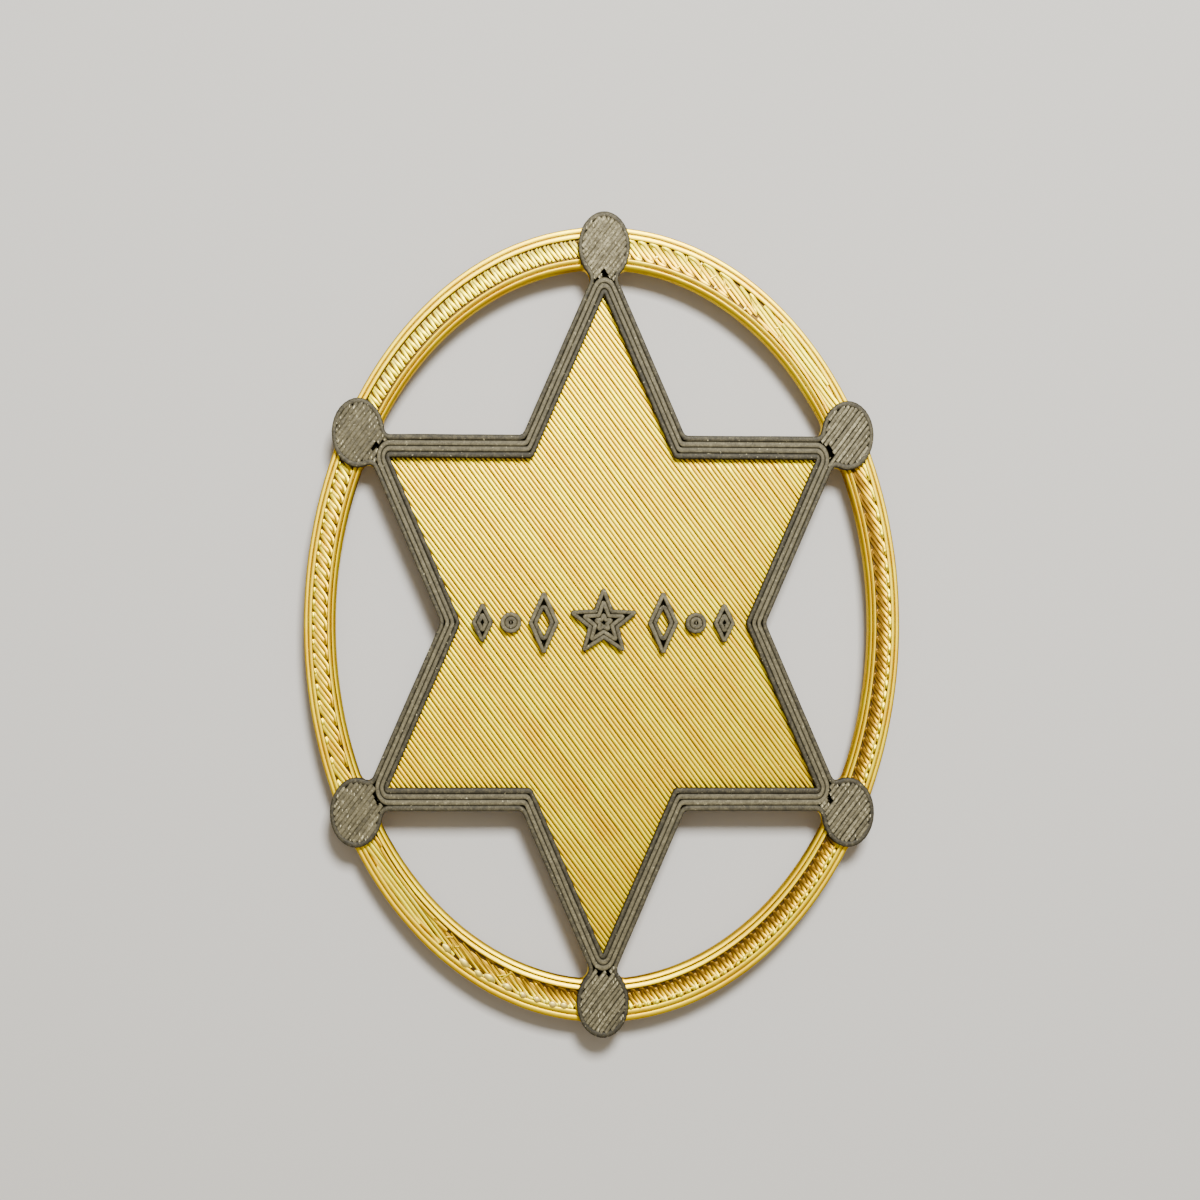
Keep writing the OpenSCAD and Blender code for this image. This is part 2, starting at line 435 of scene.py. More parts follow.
def coreObject(name, plates):  # flat plates with holes, each of outlines, its low and its high level
    mesh = bpy.data.meshes.new(name)
    work = bmesh.new()
    for outlines, low, high in plates:
        loops = [[p for p, tone in spaced([(q, 0) for q in outline], True, longest=50)]
                 for outline in outlines]
        flat = [p for loop in loops for p in loop]
        bottom = [work.verts.new((p.real, p.imag, low)) for p in flat]
        top = [work.verts.new((p.real, p.imag, high)) for p in flat]
        for a, b, c in tessellate_polygon([[Vector((p.real, p.imag, 0)) for p in loop] for loop in loops]):
            work.faces.new((bottom[a], bottom[b], bottom[c]))
            work.faces.new((top[a], top[b], top[c]))
        first = 0
        for loop in loops:
            for i in range(len(loop)):
                a, b = first + i, first + (i + 1) % len(loop)
                work.faces.new((bottom[a], bottom[b], top[b], top[a]))
            first += len(loop)
    bmesh.ops.recalc_face_normals(work, faces=work.faces)
    work.to_mesh(mesh)
    work.free()
    # Only the bottom of a gap shows of a core, so it is painted wholly in the hollow colour as painted
    # shade
    for key, value in (("beadTone", 0.2), ("beadCrown", -1), ("grooveDepth", 1)):
        mesh.attributes.new(key, "FLOAT", "POINT").data.foreach_set("value", [value] * len(mesh.vertices))
    core = bpy.data.objects.new(name, mesh)
    bpy.context.scene.collection.objects.link(core)
    return core


# longest is the most that may lie between two points of a path, in mm
def printPiece(name, paths, material, options, core=None, longest=2.0):
    piece = pathObject(name, paths, longest)
    modifier = piece.modifiers.new("beads", "NODES")
    modifier.node_group = beadTree
    values = dict(options, Core=core, Material=material)
    for item in beadTree.interface.items_tree:
        if item.in_out == "INPUT" and values.get(item.name) is not None:
            modifier[item.identifier] = values[item.name]
    graph = bpy.context.evaluated_depsgraph_get()
    mesh = bpy.data.meshes.new_from_object(piece.evaluated_get(graph), preserve_all_data_layers=True,
                                           depsgraph=graph)
    piece.modifiers.clear()
    piece.data = mesh
    mesh.name = name
    if core:
        bpy.data.objects.remove(core)
    print("made", name, len(mesh.polygons), "faces")
    return piece


def linear(hexColour):
    parts = [int(hexColour[i:i + 2], 16) / 255 for i in (1, 3, 5)]
    return [c / 12.92 if c <= 0.04045 else ((c + 0.055) / 1.055) ** 2.4 for c in parts] + [1]


def newMaterial(name):
    material = bpy.data.materials.new(name)
    material.use_nodes = True
    tree = material.node_tree
    tree.nodes.clear()
    shader = addNode(tree, "ShaderNodeBsdfPrincipled")
    addNode(tree, "ShaderNodeOutputMaterial", {"Surface": shader.outputs[0]})
    return material, tree, shader


def perMetre(size):  # a pattern's scale, from the size of one of its cells in mm
    return 1 / (size * mm)


# Tones between which each paler colour takes over from the last one
toneSteps = {"deep": (0.0, 0.6), "light": (0.6, 1.4), "pale": (1.4, 2.4)}
# Heights on a line, from -1 at its foot to 1 at its top, between which each painted shade colour fades out
shadeSteps = {"flank": (0.55, 1.0), "hollow": (-0.4, 0.75)}


def lineColours(tree, place, kind):  # paler and deeper lines, with painted shade on the flanks and in the hollows between them
    tone = addNode(tree, "ShaderNodeAttribute", attribute_name="beadTone").outputs["Fac"]
    crown = addNode(tree, "ShaderNodeAttribute", attribute_name="beadCrown").outputs["Fac"]
    depth = addNode(tree, "ShaderNodeAttribute", attribute_name="grooveDepth").outputs["Fac"]
    cloud = kind["cloud"]
    noise = addNode(tree, "ShaderNodeTexNoise", {
        "Vector": place, "Scale": perMetre(cloud["size"]), "Detail": 4.0, "Roughness": cloud["rough"]})
    spread = addNode(tree, "ShaderNodeMapRange", {
        "Value": noise.outputs["Fac"], "To Min": 0.5 - cloud["strength"] / 2,
        "To Max": 0.5 + cloud["strength"] / 2})
    mixed = addNode(tree, "ShaderNodeMath", {0: tone, 1: spread.outputs[0]}, operation="ADD")
    colour = linear(kind["dim"])
    for name, (low, high) in toneSteps.items():
        share = addNode(tree, "ShaderNodeMapRange",
                        {"Value": mixed.outputs[0], "From Min": low, "From Max": high})
        step = addNode(tree, "ShaderNodeMix",
                       {"Factor": share.outputs[0], "A": colour, "B": linear(kind[name])}, data_type="RGBA")
        colour = step.outputs["Result"]
    for name, (low, high) in shadeSteps.items():
        fade = addNode(tree, "ShaderNodeMapRange",
                       {"Value": crown, "From Min": low, "From Max": high, "To Min": 1.0, "To Max": 0.0})
        share = addNode(tree, "ShaderNodeMath", {0: fade.outputs[0], 1: depth}, operation="MULTIPLY")
        step = addNode(tree, "ShaderNodeMix",
                       {"Factor": share.outputs[0], "A": colour, "B": linear(kind[name])}, data_type="RGBA")
        colour = step.outputs["Result"]
    return colour


# Silk PLA in gold: plastic with fine mica, drawn out along the lines, so it has a soft metal gloss.
# The mica is too fine to show, so the ripple that it gives is drawn 0.2 mm wide. Sizes are in mm
silk = {
    "pale": "#FFE090",
    "light": "#FFEE00",
    "deep": "#F0C000",
    "dim": "#86641A",
    # painted shade: flank and hollow colour the sides of lines and the gaps between them
    "flank": "#B07030",
    "hollow": "#54401E",
    "metallic": 1.0,
    "roughness": 0.4,
    "cloud": {"size": 2.5, "rough": 0.5, "strength": 1.0},
    "ripple": {"size": 0.2, "height": 0.02, "strength": 0.25},
}


def makeSilkGold():
    material, tree, shader = newMaterial("gold silk PLA, printed")
    place = addNode(tree, "ShaderNodeTexCoord").outputs["Object"]
    tree.links.new(lineColours(tree, place, silk), shader.inputs["Base Color"])
    ripple = silk["ripple"]
    waves = addNode(tree, "ShaderNodeTexNoise",
                    {"Vector": place, "Scale": perMetre(ripple["size"]), "Detail": 2.0})
    bump = addNode(tree, "ShaderNodeBump", {
        "Height": waves.outputs["Fac"], "Strength": ripple["strength"], "Distance": ripple["height"] * mm})
    tree.links.new(bump.outputs[0], shader.inputs["Normal"])
    shader.inputs["Metallic"].default_value = silk["metallic"]
    shader.inputs["Roughness"].default_value = silk["roughness"]
    return material


# Matte PLA in charcoal: filled plastic that scatters light, with small grains that are bumped and painted
# pale as painted glints. The filler is too fine to show, so its speckle is drawn 0.4 mm wide and its grains
# 0.3 mm. Sizes are in mm
matte = {
    "pale": "#EEE4B6",
    "light": "#7A7254",
    "deep": "#403B29",
    "dim": "#1A1710",
    # painted shade: flank and hollow colour the sides of lines and the gaps between them
    "flank": "#242113",
    "hollow": "#0A0904",
    "roughness": 0.6,
    "gloss": {"low": -0.5, "high": 0.8, "most": 0.35},  # none low on a line, and most near its top
    "cloud": {"size": 0.41667, "rough": 0.9, "strength": 2.8},
    "grain": {"size": 0.28571, "height": 0.03, "strength": 0.4, "brightFrom": 0.7, "brightTo": 0.9},
}


def makeMatteCharcoal():
    material, tree, shader = newMaterial("charcoal matte PLA, printed")
    place = addNode(tree, "ShaderNodeTexCoord").outputs["Object"]
    body = lineColours(tree, place, matte)
    grain, gloss = matte["grain"], matte["gloss"]
    grains = addNode(tree, "ShaderNodeTexNoise",
                     {"Vector": place, "Scale": perMetre(grain["size"]), "Detail": 1.0})
    # painted glints: the grains' tops are coloured pale
    bright = addNode(tree, "ShaderNodeMapRange", {
        "Value": grains.outputs["Fac"], "From Min": grain["brightFrom"], "From Max": grain["brightTo"]})
    colour = addNode(tree, "ShaderNodeMix",
                     {"Factor": bright.outputs[0], "A": body, "B": linear(matte["pale"])}, data_type="RGBA")
    tree.links.new(colour.outputs["Result"], shader.inputs["Base Color"])
    bump = addNode(tree, "ShaderNodeBump", {
        "Height": grains.outputs["Fac"], "Strength": grain["strength"], "Distance": grain["height"] * mm})
    tree.links.new(bump.outputs[0], shader.inputs["Normal"])
    crown = addNode(tree, "ShaderNodeAttribute", attribute_name="beadCrown").outputs["Fac"]
    shine = addNode(tree, "ShaderNodeMapRange", {
        "Value": crown, "From Min": gloss["low"], "From Max": gloss["high"],
        "To Min": 0.0, "To Max": gloss["most"]})
    tree.links.new(shine.outputs[0], shader.inputs["Specular IOR Level"])
    shader.inputs["Roughness"].default_value = matte["roughness"]
    return material


# Nickel-plated steel, drawn and tumbled: a soft grey metal with fine lines along the bar. Sizes are in mm
nickel = {
    "light": "#C9C5BC",
    "deep": "#A29E96",
    "metallic": 1.0,
    "roughness": 0.3,
    "drawnLines": {"length": 3.3333, "narrower": 30.0, "height": 0.01, "strength": 0.2},
}


def makeNickel():
    material, tree, shader = newMaterial("nickel-plated steel, satin")
    place = addNode(tree, "ShaderNodeTexCoord").outputs["Object"]
    lines = nickel["drawnLines"]
    along = addNode(tree, "ShaderNodeMapping",
                    {"Vector": place, "Scale": (1.0, lines["narrower"], lines["narrower"])})
    grain = addNode(tree, "ShaderNodeTexNoise",
                    {"Vector": along.outputs[0], "Scale": perMetre(lines["length"]), "Detail": 4.0})
    colour = addNode(tree, "ShaderNodeMix", {
        "Factor": grain.outputs["Fac"], "A": linear(nickel["deep"]), "B": linear(nickel["light"])},
        data_type="RGBA")
    tree.links.new(colour.outputs["Result"], shader.inputs["Base Color"])
    bump = addNode(tree, "ShaderNodeBump", {
        "Height": grain.outputs["Fac"], "Strength": lines["strength"], "Distance": lines["height"] * mm})
    tree.links.new(bump.outputs[0], shader.inputs["Normal"])
    shader.inputs["Metallic"].default_value = nickel["metallic"]
    shader.inputs["Roughness"].default_value = nickel["roughness"]
    return material


random.seed(7)
beadTree = buildBeadTree()
silkGold = makeSilkGold()
matteCharcoal = makeMatteCharcoal()
nickelSteel = makeNickel()
print("materials and bead tree made")


def edgeZ(kind, layerHeight):  # the middle of the top layer
    return kind["high"] - layerHeight / 2


def fillZ(kind, layerHeight):  # fill lines are flatter, and their tops are level with the edge lines'
    return edgeZ(kind, layerHeight) + layerHeight * (1 - kind["fillBead"]) / 2


def windowLoops(outset):
    return [[p * polar(1, 60 * i) for p in windowLoop(outset)] for i in range(6)]


# Gold layers. The core stays under the top lines, so that gaps between them are dark, by their depth and by
# the core's painted shade
goldLayer = (goldPrint["high"] - goldPrint["low"]) / goldPrint["layers"]
goldTop = edgeZ(goldPrint, goldLayer)
goldFill = fillZ(goldPrint, goldLayer)
goldOptions = {"Bead Width": bead, "Layer Height": goldLayer, "Squareness": 3.0, "Wander": 0.05,
               "Stretch": stretch}
goldCore = {"under": 0.7, "over": 1.2}  # layers that stay free of it
# The first and the second line inside each edge, with insets in beads and leans in degrees
goldEdges = {"insets": (0.5, 1.45), "leans": (26, 20), "tones": (0.3, 0.5), "groove": 0.35}
plateCore = coreObject("plate_core", [([outerLoop(coreInset)] + windowLoops(coreInset),
                                       goldPrint["low"] + goldCore["under"] * goldLayer,
                                       goldTop - goldCore["over"] * goldLayer)])


def edgeLines(number):  # along the outer edge and the windows, leaning a little into the windows
    inset, lean = goldEdges["insets"][number] * bead, goldEdges["leans"][number]
    lines = []
    for loop in [outerLoop(inset)] + windowLoops(inset):
        tones = [random.uniform(*goldEdges["tones"])] * len(loop)
        lines.append(line(loop, goldTop, tones=tones, groove=goldEdges["groove"],
                          lean=-lean if lines else 0))
    return lines


goldPlate = printPiece("gold_plate", edgeLines(0), silkGold,
                       dict(goldOptions, Layers=goldPrint["layers"], Seed=3.0), plateCore, longest=1.6)

# Ring: a second line inside each edge, and between them a trough of zigzags. The plastic was drawn outwards
# on the lower right half, so that the lines there are thin at the inner side and fat at the outer side, and
# they are painted dim at the inner side as painted shade. Heights are in mm, sizes in beads and places
# round the ring in degrees
trough = {
    "outer": ringRadius - 1.98 * bead,
    "inner": holeRadius + 2.1 * bead,
    "drawnAt": -35,
    "pressedAt": 120,
    "pressedReach": 28,
    "looseAt": 243,
    "looseReach": 16,
    "looseness": 0.4,
    "edgeDrop": 0.08,
    "depth": 0.12,
    "rise": 0.04,
    "slant": 0.075,
    "stray": 0.012,
    "turnTone": 0.1,
    "groove": 0.65,
    "pressedGroove": 0.95,
}
troughSizes = {"line": 0.95, "swell": 0.26, "drawn": 0.2, "loose": 0.4, "pressed": 0.08}
# painted light and shade: these tones make the fill paler where it faces the light and dimmer where it lies
# in shade
troughTones = {"line": 0.75, "outwards": 0.15, "inLight": 0.3, "drawn": 0.9, "drawnOutwards": 0.75,
               "pressed": 0.3}
troughMiddle = (trough["outer"] + trough["inner"]) / 2


def away(p, angle):  # degrees round the ring from an angle to a place
    return abs((heading(p) - angle + 180) % 360 - 180)


def across(p):  # from -1 at the trough's inner side to 1 at its outer side
    return (abs(p) - troughMiddle) / (trough["outer"] - troughMiddle)


def drawn(p):  # how far the plastic is drawn outwards at a place
    return (1 + math.cos(math.radians(heading(p) - trough["drawnAt"]))) / 2


def pressed(p):  # the turns were pressed into the edge lines at the upper left
    return away(p, trough["pressedAt"]) < trough["pressedReach"]


def tangle(p):  # how loose the lines are, which is most of all at the lower left
    return max(0, 1 - away(p, trough["looseAt"]) / trough["looseReach"])


def troughHeight(p):
    return (goldFill - trough["edgeDrop"] - trough["depth"] * (1 - across(p) ** 2)
            + trough["rise"] * drawn(p) * across(p))


def troughSize(p):
    return (troughSizes["line"] + drawn(p) * (troughSizes["swell"] * across(p) - troughSizes["drawn"])
            - troughSizes["loose"] * tangle(p) - troughSizes["pressed"] * pressed(p))


def troughToneAndLight(p):  # painted light and shade: flakes in lines along the light look deeper, and the fill is painted paler at the outer side and at the pressed turns and dimmer at the drawn inner side
    return (troughTones["line"] + troughTones["outwards"] * across(p)
            - troughTones["inLight"] * (p.real / abs(p)) ** 2
            - drawn(p) * (troughTones["drawn"] - troughTones["drawnOutwards"] * across(p))
            + troughTones["pressed"] * pressed(p))


def troughSlant(p):  # lines that cross the trough squarely lean towards each other at their turns
    return trough["slant"] * max(0, -math.sin(math.radians(2 * heading(p)))) ** 0.5


ringLines = edgeLines(1)
# Where the zigzags run along the ring, the nozzle filled their ends with one more line at each side
sideLines = {"starts": (29, 209), "sweep": 27, "inset": 0.16, "drop": 0.12, "size": 0.8, "tone": 0.1}
for start in sideLines["starts"]:
    for r in (trough["outer"] - sideLines["inset"], trough["inner"] + sideLines["inset"]):
        edge = arc(0, r, start, start + sideLines["sweep"], ringStep)
        ringLines.append(line(edge, goldTop - sideLines["drop"], False, sideLines["size"],
                              [sideLines["tone"]] * len(edge)))

# The drawn plastic lies in a bright heap along the trough's outer side, with one point for each degree
heap = {
    "start": 262,
    "degrees": 124,
    "inset": 0.2,
    "wave": 0.07,
    "waveTurn": 2.4,
    "drop": 0.05,
    "swell": 1.4,
    "shrink": 0.8,
    "tone": 0.35,
    "toneWave": 0.25,
    "toneTurn": 1.7,
    "groove": 0.4,
}
heapLine = [polar(trough["outer"] - heap["inset"] + heap["wave"] * math.sin(heap["waveTurn"] * i),
                  heap["start"] + i) for i in range(heap["degrees"])]
heapTones = [heap["tone"] + heap["toneWave"] * math.sin(heap["toneTurn"] * i)
             for i in range(heap["degrees"])]
ringLines.append(line(heapLine, goldTop - heap["drop"], False,
                      lambda p: heap["swell"] * drawn(p) - heap["shrink"], heapTones, heap["groove"]))

# The layer below shows where the plastic was drawn away, painted brown as painted shade in the recess
lowLine = {"start": 222, "end": 400, "drop": 0.5, "size": 3.1, "tone": -0.45, "drawn": 0.1, "loose": 0.3}
lowArc = arc(0, troughMiddle, lowLine["start"], lowLine["end"], ringStep)
lowTones = [lowLine["loose"] * tangle(p) + lowLine["tone"] - lowLine["drawn"] * drawn(p) for p in lowArc]
ringLines.append(line(lowArc, goldTop - lowLine["drop"], False, lowLine["size"], lowTones, 0.0))

# Small pits and lumps, by their angle and by how far outside the trough's middle they lie, in mm. A pit's
# size is in mm, and a lump's in beads
ringPits = [
    {"angle": 63, "out": -0.45, "size": 0.13},
    {"angle": 56, "out": -0.45, "size": 0.12},
    {"angle": 58, "out": 0.075, "size": 0.14},
    {"angle": 76, "out": 0.45, "size": 0.1},
]
ringLumps = [
    {"angle": 66, "out": -0.6, "size": 1.1},
    {"angle": 59, "out": -0.6375, "size": 1.3},
    {"angle": 51, "out": -0.5625, "size": 1.0},
    {"angle": 70, "out": 0.525, "size": 0.8},
    {"angle": 79, "out": -0.225, "size": 0.8},
]
ringPitShape = {"turn": 80, "width": 0.6}
# the lumps are real, and their pale tone is a painted highlight
ringLumpShape = {"turn": 60, "length": 0.12, "drop": 0.04, "tone": 1.5}
channel = [circle(trough["outer"]), circle(trough["inner"])]
for pit in ringPits:
    spot = polar(troughMiddle + pit["out"], pit["angle"])
    way = polar(pit["size"], pit["angle"] + ringPitShape["turn"])
    channel.append([spot + way * complex(q.real, ringPitShape["width"] * q.imag) for q in circle(1, 0.8)])
for lump in ringLumps:
    spot = polar(troughMiddle + lump["out"], lump["angle"])
    end = spot + polar(ringLumpShape["length"], lump["angle"] + ringLumpShape["turn"])
    ringLines.append(line([spot, end], goldTop - ringLumpShape["drop"], False, lump["size"],
                          [ringLumpShape["tone"]] * 2))

# Loose threads, strewn about an angle and at most so long
ringThreads = [
    {"angle": 62, "spread": 16, "count": 12, "length": 0.6},
    {"angle": 249, "spread": 1.5, "count": 3, "length": 1.3},
    {"angle": 238, "spread": 3, "count": 4, "length": 0.9},
]
threadShape = {"shares": (0.5, 1), "out": (-0.5, 0.3), "turns": (40, 130), "stray": 15,
               "sizes": (0.25, 0.38), "drop": 0.06, "tone": 0.4}
for thread in ringThreads:
    for i in range(thread["count"]):
        angle = thread["angle"] + random.uniform(-thread["spread"], thread["spread"])
        spot = polar(troughMiddle + random.uniform(*threadShape["out"]), angle)
        length = thread["length"] * random.uniform(*threadShape["shares"])
        turn = random.choice(threadShape["turns"])
        turn += random.uniform(-threadShape["stray"], threadShape["stray"])
        size = random.uniform(*threadShape["sizes"])
        ringLines.append(line([spot, spot + polar(length, angle + turn)], goldTop - threadShape["drop"],
                              False, size, [threadShape["tone"]] * 2))

ringFill = fillLines(channel, goldPrint, troughHeight, troughSize, troughToneAndLight, trough["turnTone"],
                     trough["stray"], lambda p: not pressed(p), slant=troughSlant)
for fill in ringFill:
    fill["groove"] = trough["pressedGroove"] if pressed(fill["points"][0][0]) else trough["groove"]
    loosened = []
    for p, tone in fill["points"]:
        shift = random.uniform(-trough["looseness"], trough["looseness"]) * tangle(p)
        loosened.append((p + p / abs(p) * 1j * shift, tone))
    fill["points"] = loosened

# The drawn plastic ends in small bright lumps, and at the lower left in a row of fat ones, real lumps whose
# pale colour is painted highlight
smallLumps = {"at": 250, "reach": 127, "outside": 0.4, "inset": 0.08, "sizes": (0.5, 0.9), "tone": 0.9}
fatLumps = {"count": 9, "start": 238, "step": 3.1, "stray": 0.6, "inset": 0.2, "sizes": (1.2, 1.6),
            "tone": 1.45}
lumpShape = {"length": 0.3, "rise": 0.14, "sink": 0.1, "taper": 0.55, "groove": 0.25}


def addLump(spot, angle, size, tone):  # a short line along the ring, thick in the middle
    along = polar(lumpShape["length"] * size ** 1.5, angle + 90)
    points = [spot + along * k for k in (-1, -0.5, 0, 0.5, 1)]
    ringLines.append(line(points, goldTop + lumpShape["rise"] - lumpShape["sink"] * size, False,
                          lambda p: size * (1 - lumpShape["taper"] * abs((p - spot) / along) ** 2),
                          [tone] * len(points), lumpShape["groove"]))


for turn in [p for fill in ringFill for p in fill["turns"]]:
    if across(turn) > smallLumps["outside"] and away(turn, smallLumps["at"]) < smallLumps["reach"]:
        spot = turn - polar(smallLumps["inset"], heading(turn))
        addLump(spot, heading(turn), random.uniform(*smallLumps["sizes"]), smallLumps["tone"])
for i in range(fatLumps["count"]):
    angle = fatLumps["start"] + fatLumps["step"] * i
    angle += random.uniform(-fatLumps["stray"], fatLumps["stray"])
    spot = polar(trough["outer"] - random.uniform(0, fatLumps["inset"]), angle)
    addLump(spot, angle, random.uniform(*fatLumps["sizes"]), fatLumps["tone"])
goldRing = printPiece("gold_ring_lines", ringLines, silkGold, dict(goldOptions, Seed=5.0), longest=1.6)
goldTrough = printPiece("gold_ring_fill", ringFill, silkGold,
                        dict(goldOptions, Squareness=3.6, Wander=0.08, Seed=6.0), longest=0.4)

# Field: zigzags that turn round under the border
fieldShape = {"underBorder": 0.5, "cornerRadius": 0.02, "stray": 0.008}
sharp = fieldShape["cornerRadius"]
field = hexLoop(fieldEdge + fieldShape["underBorder"], sharp, sharp)
fieldLines = fillLines([field], goldPrint, goldFill, goldPrint["fillBead"], stray=fieldShape["stray"])
goldField = printPiece("gold_field_lines", fieldLines, silkGold, dict(goldOptions, Seed=8.0))

# Underside: the first layer, pressed flat on the print bed
underside = {"inset": 0.9 * bead, "fillAngle": 45, "size": 1.0, "stray": 0.005}
underLines = fillLines([outerLoop(underside["inset"])] + windowLoops(underside["inset"]),
                       dict(goldPrint, fillAngle=underside["fillAngle"]), goldPrint["low"] + goldLayer / 2,
                       underside["size"], stray=underside["stray"])
goldUnder = printPiece("gold_first_layer", underLines, silkGold,
                       dict(goldOptions, Squareness=5.0, Seed=9.0), longest=6)

# Charcoal border and balls
reliefLayer = (charcoalPrint["high"] - charcoalPrint["low"]) / charcoalPrint["layers"]
reliefTop = edgeZ(charcoalPrint, reliefLayer)
reliefFill = fillZ(charcoalPrint, reliefLayer)
reliefCoreTop = reliefTop - 0.9 * reliefLayer
reliefOptions = {"Bead Width": bead, "Layer Height": reliefLayer, "Squareness": 2.8, "Wander": 0.06,
                 "Stretch": stretch}
# Gaps between the lines round the field's tips and the fill of the balls, by the tip's angle, in mm
pits = [
    {"tip": 30, "length": 1.3, "width": 0.36, "shift": -0.15},
    {"tip": 90, "length": 0.7, "width": 0.5, "shift": 0.0},
    {"tip": 150, "length": 0.85, "width": 0.65, "shift": 0.1},
    {"tip": 210, "length": 1.1, "width": 0.2, "shift": 0.1},
    {"tip": 270, "length": 0.45, "width": 0.35, "shift": -0.45},
    {"tip": 270, "length": 0.45, "width": 0.35, "shift": 0.45},
    {"tip": 330, "length": 0.9, "width": 0.45, "shift": -0.1},
]
pitShape = {"space": 0.06, "ragged": (0.75, 1.15), "floor": 0.1, "floorGap": 0.01}
tipCentre = 2 * fieldEdge  # the lines round a field's tip share this centre
tipReach = 3 * bead
ballShape = {"inset": 0.8 * bead, "neckAngle": 56, "neckShare": 0.54, "neckSpace": 0.03}
fillOutlines = {}
for angle in range(30, 390, 60):
    tip = polar(1, angle)
    inArm = [p / tip for p in starLoop(ballShape["inset"])]
    neckEnd = tipCentre + ballShape["neckShare"] * tipReach
    outline = [p for p in inArm if p.real > neckEnd and abs(p.imag) < ballRadius]
    outline += arc(tipCentre, tipReach + ballShape["neckSpace"], ballShape["neckAngle"],
                   -ballShape["neckAngle"], fineStep)
    fillOutlines[angle] = [[p * tip for p in outline]]
holes = []
for pit in pits:
    tip = polar(1, pit["tip"])
    middle = tipCentre + tipReach * math.cos(pit["shift"] / tipReach) + pitShape["space"] + pit["width"] / 2
    rim = []
    for q in circle(1, 0.7):
        ragged = random.uniform(*pitShape["ragged"]) / 2
        corner = complex(q.real * pit["width"], q.imag * pit["length"]) * ragged
        rim.append(tip * (middle + corner + 1j * pit["shift"]))
    holes.append(rim)
    fillOutlines[pit["tip"]].append(rim)

# The border's walls stand round a core, and the pits go down to its floor. Insets are in beads
borderShape = {"coreTip": 0.2, "coreNotch": 0.3, "lineNotch": 0.5, "insets": (1.5, 2.5), "groove": 0.9}
borderLoops = [starLoop(coreInset),
               hexLoop(fieldEdge + coreInset, borderShape["coreTip"], borderShape["coreNotch"])]
pitFloor = charcoalPrint["low"] + pitShape["floor"]
borderCore = coreObject("border_core", [
    (borderLoops, charcoalPrint["low"], pitFloor),
    (borderLoops + holes, pitFloor + pitShape["floorGap"], reliefCoreTop)])
wallTones = {"side": 0.25, "ball": 0.2, "upwards": 0.2, "inner": 0.1}
neckPart = 0.4  # mm of each ball, next to its neck, whose wall still looks like the sides


def wallTone(p):  # the balls' walls are painted paler towards the top, as painted light from above
    onBall = abs(p) > ballAt - ballRadius + neckPart
    return wallTones["ball"] + wallTones["upwards"] * p.imag / ringRadius if onBall else wallTones["side"]


outerWall = starLoop(bead / 2)
innerWall = hexLoop(fieldEdge + bead / 2, bead / 2, borderShape["coreNotch"])
walls = [
    line(outerWall, reliefTop, tones=[wallTone(p) for p in outerWall]),
    line(innerWall, reliefTop, tones=[wallTones["inner"]] * len(innerWall)),
]
borderPlate = printPiece("border_plate", walls, matteCharcoal,
                         dict(reliefOptions, Squareness=2.0, Layers=charcoalPrint["layers"], Seed=11.0),
                         borderCore, longest=1.6)

borderLines = []
for inset in borderShape["insets"]:
    loop = hexLoop(fieldEdge + inset * bead, inset * bead, borderShape["lineNotch"])
    borderLines.append(line(loop, reliefTop, groove=borderShape["groove"]))
borderTop = printPiece("border_lines", borderLines, matteCharcoal, dict(reliefOptions, Seed=14.0))

# Balls: the nozzle smeared their fill, most of all at the top and the left, and left some real lumps,
# coloured pale as painted highlights
smears = {
    30: {"tone": 0.95, "groove": 0.8, "rough": 0.12, "lumps": 12},
    90: {"tone": 0.87, "groove": 0.25, "rough": 0.22, "lumps": 50},
    150: {"tone": 0.64, "groove": 0.25, "rough": 0.25, "lumps": 40},
    210: {"tone": 0.66, "groove": 0.28, "rough": 0.2, "lumps": 34},
    270: {"tone": 0.7, "groove": 0.75, "rough": 0.12, "lumps": 20},
    330: {"tone": 0.75, "groove": 0.75, "rough": 0.14, "lumps": 18},
}
smearShape = {"heights": (-0.04, 0.01), "sizes": (-0.4, 1.2), "stray": 0.015}
ballLump = {"sizes": (0.25, 0.6), "tones": (1.8, 3.0), "length": 0.05, "rise": 0.12, "sink": 0.05,
            "groove": 0.2}


def roughHeight(p):
    return reliefFill + random.uniform(*smearShape["heights"])


def roughSize(p):
    tip = min(smears, key=lambda angle: abs(p - polar(ballAt, angle)))
    return charcoalPrint["fillBead"] * (1 + smears[tip]["rough"] * random.uniform(*smearShape["sizes"]))


ballLines = []
for tip, outlines in fillOutlines.items():
    smear = smears[tip]
    fills = fillLines(outlines, charcoalPrint, roughHeight, roughSize, smear["tone"],
                      stray=smearShape["stray"] * smear["groove"], turns=lambda p: False,
                      groove=smear["groove"])
    for i in range(smear["lumps"]):
        fill = random.choice(fills)
        share = 0.5 + 0.5 * random.choice((-1, 1)) * random.random() ** 0.5
        spot = fill["points"][0][0] + (fill["points"][-1][0] - fill["points"][0][0]) * share
        size = random.uniform(*ballLump["sizes"])
        tone = random.uniform(*ballLump["tones"])
        height = reliefTop + ballLump["rise"] - ballLump["sink"] * size
        ballLines.append(line([spot, spot + ballLump["length"]], height, False, size, [tone] * 2,
                              ballLump["groove"]))
    ballLines += fills
ballFill = printPiece("ball_fill", ballLines, matteCharcoal,
                      dict(reliefOptions, Squareness=2.1, Wander=0.1, Seed=15.0), longest=0.25)

# Ornaments, which are not stretched
ornament = {
    "starRadius": 4.1,
    "notchShare": 0.42,
    "innerLozenge": (3.2, 7.216),
    "outerLozenge": (2.3, 4.756),
    "discRadius": 1.1,
    "stroke": 0.9,
    "cornerRadius": 0.06,
    "dotSize": 0.9,
}


